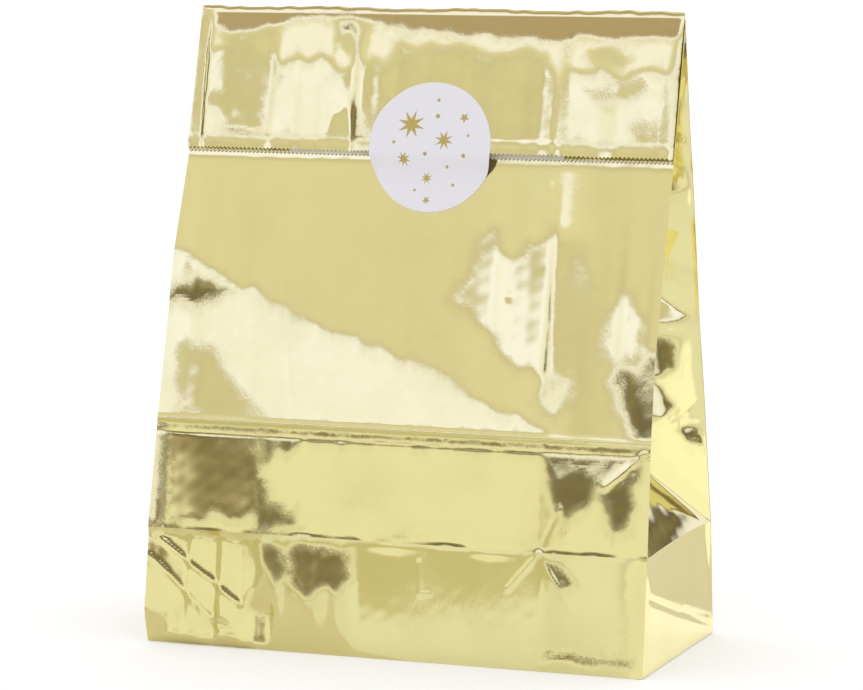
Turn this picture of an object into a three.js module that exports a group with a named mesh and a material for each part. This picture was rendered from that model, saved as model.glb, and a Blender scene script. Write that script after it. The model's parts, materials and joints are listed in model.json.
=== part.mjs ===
// A block-bottomed foil-paper gift bag with side gussets, standing up, its top folded forward
// over the front as a flap and closed with a round paper sticker.
// Millimetres, +Z up. The origin is the centre of the base on the surface it stands on.
// The front faces -Y and the width runs along X.
import * as THREE from 'three';

// Driving dimensions of the bag.
const WIDTH = 180;
const DEPTH = 80;
const FRONT_LEAN_DEG = 16.3;
const FRONT_SLANT = 186;
const FLAP_LENGTH = 51;
const FRONT_PLY_EXTRA = 0.9;
const STICKER_RADIUS = 22.5;
const STICKER_RISE = 2.4;
const STICKER_OFFSET_X = 2.7;
const STICKER_TILT_DEG = 6;

// Each ply stands in for thinner paper, and touching plies keep a gap.
const PLY = 0.3;
const GAP = 0.3;

// The front ply folds a little below the ridge, inside the back ply's fold.
const FRONT_FOLD_DROP = 5.5;
const FOLD_CLEARANCE = 1.4;
const CREASE_CLEARANCE = 0.4;
const FLAP_SIDE_INSET = 0.7;
const LAP_WIDTH = 14;
const BOTTOM_LAP = 12;
const GUSSET_TOP_DROP = 16;
const BACK_WING_DROP = 3.5;

const HALF_WIDTH = WIDTH / 2;
const HALF_DEPTH = DEPTH / 2;
const BASE_HEIGHT = HALF_DEPTH;
const CREASE_Y = HALF_DEPTH - PLY / 2;

const X = new THREE.Vector3(1, 0, 0);
const Y = new THREE.Vector3(0, 1, 0);
const Z = new THREE.Vector3(0, 0, 1);

// Outline of the leaning walls: the front wall's slant, the ridge above it and the back wall.
const frontLean = THREE.MathUtils.degToRad(FRONT_LEAN_DEG);
const frontUp = new THREE.Vector3(0, Math.sin(frontLean), Math.cos(frontLean));
const frontOut = new THREE.Vector3().crossVectors(X, frontUp);
const frontCrease = new THREE.Vector3(0, -CREASE_Y, BASE_HEIGHT);
const layer = (number) => GAP + (number - 1) * (PLY + GAP);
const BACK_FLAP_LAYER = layer(4);
const ridge = frontPoint(0, BACK_FLAP_LAYER + PLY / 2);
const backCrease = new THREE.Vector3(0, CREASE_Y, BASE_HEIGHT);
const backSlope = ridge.clone().sub(backCrease);
const BACK_SLANT = backSlope.length();
const backUp = backSlope.clone().normalize();
const backIn = new THREE.Vector3().crossVectors(X, backUp);
const backLean = Math.atan2(-backSlope.y, backSlope.z);

// The triangle at the foot of each gusset leans in until its tip meets the gusset's centre crease.
const gussetCos = 1 / (1 + (Math.tan(frontLean) + Math.tan(backLean)) / 2);
const gussetSin = Math.sqrt(1 - gussetCos * gussetCos);
const gussetRise = HALF_DEPTH * gussetCos;
const gussetTipY = (gussetRise * (Math.tan(frontLean) - Math.tan(backLean))) / 2;

const foilOutside = { color: '#dccf8c', roughness: 0.12, metalness: 1 };
const foilInside = { color: '#d8d3c6', roughness: 0.55, metalness: 0 };
const stickerPaper = { color: '#ebebf0', roughness: 0.6, metalness: 0 };

const bag = new THREE.Group();

// A point on the front: height is along the slope above the ridge line (negative below it) and
// out is the distance from the front wall's outer face.
function frontPoint(height, out) {
  const slope = frontUp.clone().multiplyScalar(FRONT_SLANT + height);
  const offset = frontOut.clone().multiplyScalar(out + PLY / 2);
  return frontCrease.clone().add(slope).add(offset);
}

function addMesh(name, geometry, finish) {
  const mesh = new THREE.Mesh(geometry, new THREE.MeshStandardMaterial(finish));
  mesh.name = name;
  bag.add(mesh);
  return mesh;
}

// A flat ply of paper: its outline is drawn along right and up, and it grows along right x up.
function addPly(name, outline, origin, right, up, finish) {
  const shape = outline instanceof THREE.Shape ? outline : new THREE.Shape(outline);
  const geometry = new THREE.ExtrudeGeometry(shape, {
    depth: PLY,
    bevelEnabled: false,
    curveSegments: 24,
  });
  const mesh = addMesh(name, geometry, finish);
  const out = new THREE.Vector3().crossVectors(right, up);
  mesh.quaternion.setFromRotationMatrix(new THREE.Matrix4().makeBasis(right, up, out));
  mesh.position.copy(origin);
  return mesh;
}

// A gently curved ply: point(u, v) gives its middle surface, with u and v from 0 to 1. Both faces
// share one grid of triangles, and a rim joins them.
function addCurvedPly(name, point, stepsU, stepsV, finish) {
  const grid = new THREE.PlaneGeometry(1, 1, stepsU, stepsV);
  const count = grid.attributes.position.count;
  const triangles = Array.from(grid.index.array);
  const reach = 0.001;
  const places = [];
  for (const face of [1, -1]) {
    for (let i = 0; i < count; i += 1) {
      const u = grid.attributes.position.getX(i) + 0.5;
      const v = grid.attributes.position.getY(i) + 0.5;
      const middle = point(u, v);
      const alongU = point(u + reach, v).sub(middle);
      const alongV = point(u, v + reach).sub(middle);
      const normal = alongU.cross(alongV).normalize();
      places.push(...middle.addScaledVector(normal, (face * PLY) / 2).toArray());
    }
  }
  const index = [...triangles];
  for (let i = 0; i < triangles.length; i += 3) {
    const [a, b, c] = triangles.slice(i, i + 3);
    index.push(a + count, c + count, b + count);
  }
  for (const [from, to] of rimEdges(stepsU, stepsV)) {
    index.push(from, from + count, to + count, from, to + count, to);
  }
  const geometry = new THREE.BufferGeometry();
  geometry.setAttribute('position', new THREE.Float32BufferAttribute(places, 3));
  geometry.setIndex(index);
  geometry.computeVertexNormals();
  return addMesh(name, geometry, finish);
}

// The edges around a grid of points that is counted in rows from its top left, anticlockwise.
function rimEdges(stepsU, stepsV) {
  const row = stepsU + 1;
  const corners = [0, stepsV * row, stepsV * row + stepsU, stepsU, 0];
  const strides = [row, 1, -row, -1];
  const edges = [];
  strides.forEach((stride, side) => {
    for (let at = corners[side]; at !== corners[side + 1]; at += stride) {
      edges.push([at, at + stride]);
    }
  });
  return edges;
}

function rectangle(left, right, low, high) {
  return [
    new THREE.Vector2(left, low),
    new THREE.Vector2(right, low),
    new THREE.Vector2(right, high),
    new THREE.Vector2(left, high),
  ];
}

// The bottom: two mitred end flaps glued over each other, and two tucked corners above them.
function addBottom() {
  const edge = HALF_DEPTH - PLY - GAP;
  const corner = HALF_WIDTH - PLY - GAP;
  const reach = edge + BOTTOM_LAP;
  const mitred = (side) => [
    new THREE.Vector2(-corner, side * edge),
    new THREE.Vector2(corner, side * edge),
    new THREE.Vector2(corner - reach, -side * BOTTOM_LAP),
    new THREE.Vector2(-corner + reach, -side * BOTTOM_LAP),
  ];
  const level = (number) => new THREE.Vector3(0, 0, number * (PLY + GAP));
  addPly('bottom_outer_flap', mitred(-1), level(0), X, Y, foilOutside);
  addPly('bottom_inner_flap', mitred(1), level(1), X, Y, foilOutside);
  for (const [side, label] of [[-1, 'left'], [1, 'right']]) {
    const tuck = [
      new THREE.Vector2(side * corner, -edge),
      new THREE.Vector2(side * corner, edge),
      new THREE.Vector2(side * (corner - edge), 0),
    ];
    addPly(`bottom_tuck_${label}`, tuck, level(2), X, Y, foilInside);
  }
}

// The upright walls of the base, up to the crease that the leaning walls turn about.
function addBaseWalls() {
  const top = BASE_HEIGHT - CREASE_CLEARANCE;
  const face = rectangle(-HALF_WIDTH, HALF_WIDTH, 0, top);
  const side = rectangle(-HALF_DEPTH + PLY + GAP, HALF_DEPTH - PLY - GAP, 0, top);
  const frontInner = new THREE.Vector3(0, -HALF_DEPTH + PLY, 0);
  addPly('base_front_wall', face, frontInner, X, Z, foilOutside);
  addPly('base_back_wall', face, new THREE.Vector3(0, HALF_DEPTH, 0), X, Z, foilOutside);
  addPly('base_left_wall', side, new THREE.Vector3(-HALF_WIDTH, 0, 0), Y, Z, foilOutside);
  addPly('base_right_wall', side, new THREE.Vector3(HALF_WIDTH - PLY, 0, 0), Y, Z, foilOutside);
}

// The triangle that folds in at the foot of a gusset.
function addGussetTriangle(side, label) {
  const up = new THREE.Vector3(-side * gussetSin, 0, gussetCos);
  const foot = new THREE.Vector3(side * (HALF_WIDTH - PLY / 2), 0, BASE_HEIGHT);
  const out = new THREE.Vector3().crossVectors(Y, up);
  foot.addScaledVector(out, -PLY / 2);
  const margin = 3 * CREASE_CLEARANCE;
  const outline = [
    new THREE.Vector2(-HALF_DEPTH + margin, CREASE_CLEARANCE),
    new THREE.Vector2(HALF_DEPTH - margin, CREASE_CLEARANCE),
    new THREE.Vector2(gussetTipY, HALF_DEPTH - margin),
  ];
  addPly(`gusset_triangle_${label}`, outline, foot, Y, up, foilOutside);
}

// One half of a gusset, from the side edge of the front or back wall to the centre crease.
// The paper keeps its width, so the crease moves inwards as the walls come together. Beside the
// triangle at the foot the ply is flat.
function addGussetHalf(side, label, isFront) {
  const sign = isFront ? -1 : 1;
  const frontY = (z) => -CREASE_Y + (z - BASE_HEIGHT) * Math.tan(frontLean);
  const backY = (z) => CREASE_Y - (z - BASE_HEIGHT) * Math.tan(backLean);
  const edgePoint = (z) => {
    const y = (isFront ? frontY(z) : backY(z)) - sign * (PLY + 2 * GAP);
    return new THREE.Vector3(side * (HALF_WIDTH - PLY), y, z);
  };
  const creasePoint = (z) => {
    const spread = (backY(z) - frontY(z)) / 2;
    const inward = Math.sqrt(HALF_DEPTH * HALF_DEPTH - spread * spread);
    const y = (frontY(z) + backY(z)) / 2 + sign * (PLY + GAP);
    return new THREE.Vector3(side * (HALF_WIDTH - PLY - inward), y, z);
  };
  const tipZ = BASE_HEIGHT + gussetRise;
  const tipReach = creasePoint(tipZ).sub(edgePoint(tipZ));
  const topZ = ridge.z - GUSSET_TOP_DROP;
  const point = (u, v) => {
    const footZ = BASE_HEIGHT + 2 * CREASE_CLEARANCE + u * gussetRise;
    const z = footZ + v * (topZ - footZ);
    const edge = edgePoint(z);
    const reach = z < tipZ ? tipReach.clone() : creasePoint(z).sub(edge);
    return edge.add(reach.multiplyScalar(u));
  };
  const face = isFront ? 'front' : 'back';
  addCurvedPly(`gusset_${face}_${label}`, point, 4, 10, foilOutside);
}

// The leaning walls, hinged on the base's upper crease.
function addWalls() {
  const frontTop = FRONT_SLANT - FRONT_FOLD_DROP - FOLD_CLEARANCE;
  const frontOutline = rectangle(-HALF_WIDTH, HALF_WIDTH, CREASE_CLEARANCE, frontTop);
  const frontOrigin = frontCrease.clone().addScaledVector(frontOut, -PLY / 2);
  addPly('front_wall', frontOutline, frontOrigin, X, frontUp, foilOutside);
  const backTop = BACK_SLANT - FOLD_CLEARANCE;
  const backOutline = rectangle(-HALF_WIDTH, HALF_WIDTH, CREASE_CLEARANCE, backTop);
  const backOrigin = backCrease.clone().addScaledVector(backIn, -PLY / 2);
  addPly('back_wall', backOutline, backOrigin, X, backUp, foilOutside);
}

// The flap: the front ply and the back ply with their strips of gusset, folded down in front.
function addFlap() {
  const half = HALF_WIDTH - FLAP_SIDE_INSET;
  const frontTop = -FRONT_FOLD_DROP - FOLD_CLEARANCE;
  const frontOutline = rectangle(-half, half, -FLAP_LENGTH - FRONT_PLY_EXTRA, frontTop);
  const backOutline = rectangle(-half, half, -FLAP_LENGTH, -FOLD_CLEARANCE);
  const place = (number) => frontPoint(0, layer(number));
  addPly('front_flap', frontOutline, place(1), X, frontUp, foilInside);
  addPly('back_flap', backOutline, place(4), X, frontUp, foilOutside);
  for (const [side, label] of [[-1, 'left'], [1, 'right']]) {
    const outer = side * (half - GAP);
    const inner = side * (half - HALF_DEPTH);
    const ends = [Math.min(outer, inner), Math.max(outer, inner)];
    const frontWing = rectangle(...ends, -FLAP_LENGTH + GAP, frontTop - GAP);
    const backWing = rectangle(...ends, -FLAP_LENGTH + GAP, -BACK_WING_DROP);
    addPly(`flap_gusset_front_${label}`, frontWing, place(2), X, frontUp, foilOutside);
    addPly(`flap_gusset_back_${label}`, backWing, place(3), X, frontUp, foilOutside);
  }
  const lap = rectangle(-LAP_WIDTH / 2, LAP_WIDTH / 2, -FLAP_LENGTH + GAP, -BACK_WING_DROP);
  addPly('seam_lap_flap', lap, place(3), X, frontUp, foilOutside);
}

// The glued overlap of the sheet's two ends, inside the back of the bag.
function addSeamLap() {
  const half = LAP_WIDTH / 2;
  const lowLap = rectangle(-half, half, 3 * (PLY + GAP), BASE_HEIGHT - 2 * CREASE_CLEARANCE);
  const lowOrigin = new THREE.Vector3(0, HALF_DEPTH - PLY - GAP, 0);
  addPly('seam_lap_base', lowLap, lowOrigin, X, Z, foilOutside);
  const highLap = rectangle(-half, half, 2 * CREASE_CLEARANCE, BACK_SLANT - GUSSET_TOP_DROP);
  const highOrigin = backCrease.clone().addScaledVector(backIn, PLY / 2 + GAP);
  addPly('seam_lap_wall', highLap, highOrigin, X, backUp, foilOutside);
}

// The sticker, in two halves about the flap's edge: one on the flap and one on the front wall.
function addSticker() {
  const out = layer(5);
  const edge = -FLAP_LENGTH;
  const chordAngle = (offset) => Math.asin(offset / STICKER_RADIUS);
  const upperChord = chordAngle(-STICKER_RISE + PLY / 2);
  const upper = new THREE.Shape();
  upper.absarc(0, 0, STICKER_RADIUS, upperChord, Math.PI - upperChord, false);
  const centre = frontPoint(edge + STICKER_RISE, out);
  centre.x = STICKER_OFFSET_X;
  addPly('sticker_upper', upper, centre, X, frontUp, stickerPaper);

  const lowerChord = chordAngle(-STICKER_RISE - PLY / 2);
  const lower = new THREE.Shape();
  lower.absarc(0, STICKER_RISE, STICKER_RADIUS, Math.PI - lowerChord, lowerChord, false);
  const tilt = THREE.MathUtils.degToRad(STICKER_TILT_DEG);
  const tiltedUp = frontUp.clone().applyAxisAngle(X, tilt);
  const fold = frontPoint(edge, out);
  fold.x = STICKER_OFFSET_X;
  addPly('sticker_lower', lower, fold, X, tiltedUp, stickerPaper);
}

addBottom();
addBaseWalls();
addWalls();
for (const [side, label] of [[-1, 'left'], [1, 'right']]) {
  addGussetTriangle(side, label);
  addGussetHalf(side, label, true);
  addGussetHalf(side, label, false);
}
addSeamLap();
addFlap();
addSticker();

export default bag;
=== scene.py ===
"""A gold foil gift bag with side gussets, its top folded over and closed with a round sticker."""

import json
import math

import bpy
import numpy as np
from bpy.props import FloatProperty, FloatVectorProperty, PointerProperty
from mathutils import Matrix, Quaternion, Vector


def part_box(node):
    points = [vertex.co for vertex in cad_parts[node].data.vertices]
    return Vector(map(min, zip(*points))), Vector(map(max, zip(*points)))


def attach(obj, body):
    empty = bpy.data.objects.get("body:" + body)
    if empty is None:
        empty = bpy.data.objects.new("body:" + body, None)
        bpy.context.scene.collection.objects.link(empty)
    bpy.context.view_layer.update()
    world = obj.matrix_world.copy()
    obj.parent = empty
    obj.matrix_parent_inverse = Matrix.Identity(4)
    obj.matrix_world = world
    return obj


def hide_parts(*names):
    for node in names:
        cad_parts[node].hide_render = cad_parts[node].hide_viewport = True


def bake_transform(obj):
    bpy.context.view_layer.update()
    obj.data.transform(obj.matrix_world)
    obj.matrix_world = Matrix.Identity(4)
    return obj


bl_info = {
    "name": "Foil gift bag",
    "version": (1, 0, 0),
    "blender": (4, 5, 0),
    "location": "View3D > Sidebar > Gift bag",
    "description": "Builds a folded-over foil gift bag with its sticker around a packed frame",
    "category": "Object",
}

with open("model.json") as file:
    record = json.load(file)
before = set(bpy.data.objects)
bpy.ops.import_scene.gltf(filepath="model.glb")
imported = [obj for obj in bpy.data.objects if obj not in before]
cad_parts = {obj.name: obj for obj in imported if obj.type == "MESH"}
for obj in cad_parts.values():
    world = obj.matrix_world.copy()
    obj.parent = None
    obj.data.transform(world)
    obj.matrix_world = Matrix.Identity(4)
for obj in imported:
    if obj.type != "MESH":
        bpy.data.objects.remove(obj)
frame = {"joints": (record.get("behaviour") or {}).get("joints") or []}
MM = 0.001


def rgb(hex_colour):
    """A linear colour from an sRGB hex value."""
    parts = [int(hex_colour[i : i + 2], 16) / 255 for i in (1, 3, 5)]
    return tuple(c / 12.92 if c <= 0.04045 else ((c + 0.055) / 1.055) ** 2.4 for c in parts)


# Places that the frame gives, in millimetres as (y, z): the hinge lines of the walls, the flap and
# the sticker, and the bag's half width and depth.
HINGE = {j["name"]: np.array(j["pos_m"][1:]) / MM for j in frame["joints"]}
HALF_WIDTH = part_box("base_front_wall")[1].x / MM
HALF_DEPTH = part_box("base_back_wall")[1].y / MM
FRONT_CREASE = HINGE["front_lean"]
RIDGE, FRONT_FOLD = HINGE["flap_unfold"], HINGE["front_ply_unfold"]
PEEL = HINGE["sticker_peel"]
BASE_HEIGHT = FRONT_CREASE[1]
GUSSET = HALF_DEPTH
FOLD_X = HALF_WIDTH - GUSSET
# UP runs up the front along its lean, and OUT points away from it, both as (y, z).
LEAN = math.atan2(*(FRONT_FOLD - FRONT_CREASE))
UP = np.array([math.sin(LEAN), math.cos(LEAN)])
OUT = np.array([-math.cos(LEAN), math.sin(LEAN)])
FLAP_LENGTH = (RIDGE - PEEL) @ UP
FRONT_FOLD_DROP = (RIDGE - FRONT_FOLD) @ UP
# The inner ply shows as a thin line under the flap's cut edge.
FRONT_PLY_LENGTH = FLAP_LENGTH + 0.45 - FRONT_FOLD_DROP
STICKER_LOW, STICKER_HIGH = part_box("sticker_lower")[0] / MM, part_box("sticker_upper")[1] / MM
STICKER_X = (STICKER_LOW.x + STICKER_HIGH.x) / 2
STICKER_RADIUS = (STICKER_HIGH.x - STICKER_LOW.x) / 2
# The sticker's centre lies just above the flap's cut edge, this far below the ridge, and its face
# stands this far off the paper under it.
STICKER_S = FLAP_LENGTH - 2.4
STICKER_OFF = 0.16
SIDES = ((-1, "left"), (1, "right"))


def colour_setting(name, description, default):
    return FloatVectorProperty(
        name=name, description=description, subtype="COLOR", default=rgb(default), min=0, max=1,
    )


class BagSettings(bpy.types.PropertyGroup):
    """Sizes and colours of the bag."""

    foil: colour_setting("Foil", "Colour of the metallised film", "#E9E0A3")
    lining: colour_setting("Lining", "Colour of the paper inside", "#E9E3D2")
    sticker: colour_setting("Sticker", "Colour of the sticker's paper", "#EAE8EE")
    print_foil: colour_setting("Print", "Colour of the hot-foil print", "#C9B565")
    ply: FloatProperty(
        name="Ply", description="Thickness of the laminated paper", default=0.22 * MM,
        min=0.05 * MM, max=1 * MM, unit="LENGTH",
    )
    pinking: FloatProperty(
        name="Pinking", description="Depth of the zigzag cut", default=0.7 * MM,
        min=0, max=3 * MM, unit="LENGTH",
    )


# ---- shapes of folded paper


def fall(x):
    """1 at 0, falling smoothly to 0."""
    return np.exp(-x * x)


def step(x, low, high):
    """0 below low and 1 above high, smoothly."""
    t = np.clip((x - low) / (high - low), 0, 1)
    return t * t * (3 - 2 * t)


def between(x, low, high, end=1):
    """0 at 0 and at the end, and 1 from low to high before the end, smoothly."""
    return step(x, 0, low) * step(end - x, 0, high)


def dent(x, s, at_x, at_s, long, wide, turn, depth):
    """An oval bump, long along a line turned from +X, or a hollow if depth is negative."""
    c, n = math.cos(math.radians(turn)), math.sin(math.radians(turn))
    a = (x - at_x) * c + (s - at_s) * n
    b = (s - at_s) * c - (x - at_x) * n
    return depth * fall(a / long) * fall(b / wide)


def crease(x, s, start, end, width, height):
    """A narrow fold line between two points."""
    dx, ds = end[0] - start[0], end[1] - start[1]
    t = np.clip(((x - start[0]) * dx + (s - start[1]) * ds) / (dx * dx + ds * ds), 0, 1)
    away = np.hypot(x - start[0] - t * dx, s - start[1] - t * ds)
    return height * fall(away / width)


def ripple(x, s, pitch, seed):
    """Smooth waves in five directions, between about -1 and 1."""
    total = 0
    for k in range(5):
        turn = seed * 1.7 + k * 2.4
        size = pitch * (0.75 + 0.13 * ((seed * 3 + k * 2) % 5))
        total = total + np.sin((x * math.cos(turn) + s * math.sin(turn)) * math.tau / size + seed + k)
    return total / 3


def inside(x, s, outline, soft):
    """1 inside a closed outline of straight edges and 0 outside it, with a soft border."""
    gap = np.full(np.shape(x), np.inf)
    odd = np.zeros(np.shape(x), bool)
    for (ax, ay), (bx, by) in zip(outline, outline[1:] + outline[:1]):
        t = np.clip(((x - ax) * (bx - ax) + (s - ay) * (by - ay)) / ((bx - ax) ** 2 + (by - ay) ** 2), 0, 1)
        gap = np.minimum(gap, np.hypot(x - ax - t * (bx - ax), s - ay - t * (by - ay)))
        if ay != by:
            odd ^= ((ay > s) != (by > s)) & (x < (bx - ax) * (s - ay) / (by - ay) + ax)
    return step(np.where(odd, gap, -gap), -soft, soft)


class Relief:
    """Heights of a creased panel over its flat outline, worked out from how far each place tips back.

    Each patch is (tip, soft, outline): inside the outline the paper tips back by that many degrees
    more than the panel does. Between the patches it tips by the calm angle of its stretch, given as
    (start, tip). The calm paper takes up what is left, so that the height at each pin, given as
    (distance, height) from the top down, is the one asked for. A height may be a function of x, and
    None leaves it free."""

    CELL = 0.75

    def __init__(self, low, high, calm, patches, pins):
        self.x = np.arange(-HALF_WIDTH - 1.5, HALF_WIDTH + 1.6, self.CELL)
        self.s = np.linspace(low, high, int(round((high - low) / self.CELL)) + 1)
        self.row = self.s[1] - self.s[0]
        x, s = np.meshgrid(self.x, self.s)
        wave_x = x + ripple(x, s, 11, 1) + 0.35 * ripple(x, s, 3.6, 4)
        wave_s = s + ripple(x, s, 13, 6) + 0.9 * ripple(x, s * 0.25, 4.2, 8)
        tips = np.zeros(x.shape)
        for start, tip in calm:
            tips = np.where(s >= start, tip, tips)
        loose = np.ones(x.shape)
        self.borders = np.zeros(x.shape)
        for tip, soft, outline in patches:
            ragged = min(soft, 1.5) / 1.5
            mask = inside(x + ragged * (wave_x - x), s + ragged * (wave_s - s), outline, soft)
            wide = inside(wave_x, wave_s, outline, soft + 2.6)
            turned = np.clip(abs(tip - tips) / 5, 0, 1)
            self.borders = np.maximum(self.borders * (1 - mask), 4 * wide * (1 - wide) * turned)
            tips = tips * (1 - mask) + tip * mask
            loose = loose * (1 - mask)
        loose = loose + 0.02
        rise = np.tan(np.radians(tips)) * self.row
        heights = np.zeros(x.shape)
        rows = [int(np.argmin(abs(self.s - pin))) for pin, _ in pins]
        for (top, bottom), (_, held) in zip(zip(rows, rows[1:]), pins[1:]):
            run = np.cumsum(rise[bottom:top][::-1], axis=0)
            slack = np.cumsum(loose[bottom:top][::-1], axis=0)
            start = heights[top]
            if held is not None:
                error = (held(self.x) if callable(held) else held) - (start + run[-1])
                run = run + error * slack / slack[-1]
            heights[bottom:top] = (start + run)[::-1]
        kernel = fall(np.arange(-4, 5) * self.CELL / 1.6)
        kernel /= kernel.sum()
        padded = np.pad(heights, ((0, 0), (4, 4)), mode="edge")
        self.heights = sum(k * padded[:, i : i + x.shape[1]] for i, k in enumerate(kernel))

    def read(self, values, x, s):
        a = np.clip((x - self.x[0]) / self.CELL, 0, len(self.x) - 1.001)
        b = np.clip((s - self.s[0]) / self.row, 0, len(self.s) - 1.001)
        i, j = a.astype(int), b.astype(int)
        a, b = a - i, b - j
        low = values[j, i] * (1 - a) + values[j, i + 1] * a
        high = values[j + 1, i] * (1 - a) + values[j + 1, i + 1] * a
        return low * (1 - b) + high * b

    def __call__(self, x, s):
        return self.read(self.heights, x, s)

    def crinkled(self, x, s):
        """How crinkled the film is: 1 on the borders of the patches that tip most."""
        return self.read(self.borders, x, s)


def profile(points, s, round_off=1.6):
    """Places (y, z) and outward normals at distances s along a folded outline."""
    points = np.array(points, float)
    runs = np.diff(points, axis=0)
    lengths = np.hypot(runs[:, 0], runs[:, 1])
    starts = np.concatenate([[0], np.cumsum(lengths)])
    k = np.clip(np.searchsorted(starts, s, side="right") - 1, 0, len(runs) - 1)
    units = runs / lengths[:, None]
    place = points[k] + units[k] * (s - starts[k])[:, None]
    normals = np.stack([-units[:, 1], units[:, 0]], 1)
    normal = normals[k].copy()
    for c in range(1, len(runs)):
        t = step(s, starts[c] - round_off, starts[c] + round_off)[:, None]
        near = (abs(s - starts[c]) < round_off)[:, None]
        normal = np.where(near, normals[c - 1] * (1 - t) + normals[c] * t, normal)
    return place, normal


def distances(points):
    return np.cumsum([0] + [math.dist(a, b) for a, b in zip(points, points[1:])])


# The front of the bag from its foot to its fold, as (y, z), and the back from its foot to the ridge.
SECOND_CREASE = 78
FRONT_OUTLINE = [
    (-HALF_DEPTH + 0.3, 0.3),
    (-HALF_DEPTH + 5.1, BASE_HEIGHT),
    (-30.4, SECOND_CREASE),
    tuple(FRONT_FOLD),
]
BACK_OUTLINE = [
    (HALF_DEPTH - 0.3, 0.3),
    (HALF_DEPTH - 2.8, BASE_HEIGHT),
    (HALF_DEPTH - 8.8, SECOND_CREASE),
    (RIDGE[0] + 0.8, RIDGE[1] - 0.6),
]
FRONT_S, BACK_S = distances(FRONT_OUTLINE), distances(BACK_OUTLINE)
# From here up the flap hides the front.
HIDDEN_S = FRONT_S[3] - 49
# The rows of the panels' grids are closer from this far below the second crease to this far above.
NEAR_LOW, NEAR_HIGH = 7, 3

# The front's facets, as degrees of tip, softness and outline (across, up along the front).
FRONT_PATCHES = [
    # the long facet under a slanting fold, from the left edge down to the second crease
    (-2.3, 1.4, [(-95, 139), (-86, 137), (-47, 118.5), (-26.6, 111), (11.6, 99.5), (34, 87.6), (54, 81),
                 (54, 76), (-95, 76)]),
    # its hollow at the left edge, and the hill below it
    (-7.2, 1.5, [(-93, 119), (-88, 126), (-80, 128), (-66, 123.5), (-74, 119), (-82, 117)]),
    (1.2, 2.2, [(-84, 79), (-84, 103), (-78, 106), (-70, 103), (-64, 93), (-50, 80), (-60, 78)]),
    # the dented patch beside the right fold, and the fold's slack
    (-0.2, 2.5, [(48, 150), (62, 146), (64, 104), (58, 98), (50, 98)]),
    (-1.9, 1.5, [(14, 124), (20, 131), (22, 141), (27, 150), (31, 149), (31, 142), (38, 140), (42, 146),
                 (49, 146), (51.5, 141), (55.5, 99), (40, 100), (36, 105), (30, 113), (22, 118)]),
    # dashes to the right of the fold
    (-2.2, 1.0, [(57, 139), (60, 141), (64, 136), (62, 128), (58, 130)]),
    (-2.2, 1.6, [(70, 116), (76, 128), (80, 130), (85, 118), (84, 108), (76, 103), (70, 106)]),
    # the fold that comes out of the second crease
    (-4.6, 1.6, [(53, 99), (62, 98), (58, 88), (53, 84), (49, 91)]),
    # the dark pinch at the right edge
    (-6.1, 1.6, [(74, 99), (78, 104), (84, 102), (88, 108), (95, 109), (95, 77), (85, 77), (81, 84),
                 (77, 92)]),
    # the strip under the flap stays flat
    (1.0, 4.0, [(-95, 182), (95, 182), (95, 260), (-95, 260)]),
]
ROW_PATCHES = [
    # between the two creases: the square at the left with its drips, and the block at the right
    (3.2, 1.2, [(-86, 77), (-50, 77), (-48.5, 50), (-56, 43), (-66, 46), (-72, 42), (-85, 41)]),
    (3.8, 0.8, [(-49, 77), (-35, 76), (-36, 71), (-40, 68), (-43, 70), (-49, 63)]),
    (3.9, 1.2, [(-50, 60), (-47, 57), (-45, 50), (-41, 51), (-39, 47), (-36, 49), (-34, 43), (-50, 41)]),
    (6.2, 1.0, [(-93, 77), (-87, 77), (-86, 42), (-93, 42)]),
    (2.7, 0.8, [(-48, 77.4), (93, 77.4), (93, 74), (40, 73), (-10, 74), (-20, 72), (-48, 74)]),
    (3.9, 1.8, [(54, 70), (73, 68), (72, 58), (67, 55), (62, 50), (56, 58)]),
    (4.7, 0.9, [(53.5, 73.5), (86, 73.5), (86, 66), (75, 64), (66, 67), (60, 64), (54, 68)]),
    (3.8, 1.2, [(75, 66), (85, 66), (84.5, 51), (80, 47), (75, 54)]),
]
FOOT_PATCHES = [
    # under the first crease: worn patches at the left foot, drips, and marks at the right
    (2.4, 2.0, [(-93, 38), (-51, 38), (-48, 24), (-52, 9), (-70, 7), (-93, 10)]),
    (3.4, 1.4, [(-89, 37), (-82, 37), (-70, 28), (-60, 22), (-58, 15), (-66, 14), (-78, 22), (-89, 27)]),
    (4.0, 1.4, [(-38, 37.5), (-14.7, 37.5), (-14.5, 26), (-18, 20), (-24, 22), (-30, 17), (-38, 22)]),
    (4.2, 1.2, [(-50, 37), (-40, 37), (-37, 28), (-41, 20), (-45, 24), (-48, 30)]),
    (3.9, 1.2, [(-84, 1), (-84, 8), (-78, 13), (-72, 9), (-60, 8), (-52, 13), (-43, 13), (-43, 1)]),
    (4.0, 1.4, [(54, 2), (55, 10), (64, 8), (72, 6), (86, 5), (86, 2)]),
    (4.4, 1.2, [(53, 37), (62, 37), (66, 30), (62, 27), (56, 33)]),
]


def second_crease_height(x):
    """The second crease stands proud of the flat outline, but is pinched in at its ends."""
    return 1.5 - 2.6 * step(x, 68, 84) - 1.5 * step(-x, 72, 88)


FRONT_RELIEF = Relief(
    0, FRONT_S[3], [(0, -0.3), (FRONT_S[2], 0.9)], FRONT_PATCHES + ROW_PATCHES + FOOT_PATCHES,
    [(FRONT_S[3], 0), (HIDDEN_S, 0), (FRONT_S[2], second_crease_height), (FRONT_S[1], None), (0, 0)],
)


def side_x(z):
    """Half the bag's width, which narrows a little upwards."""
    return HALF_WIDTH + 1.0 - 1.9 * np.clip(z / RIDGE[1], 0, 1.1)


def narrowed(x, yz, wider=0):
    """Places of a panel from its places across and its (y, z), which follow the bag's width."""
    return np.column_stack([x / HALF_WIDTH * (side_x(yz[:, 1]) + wider), yz])


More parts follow.
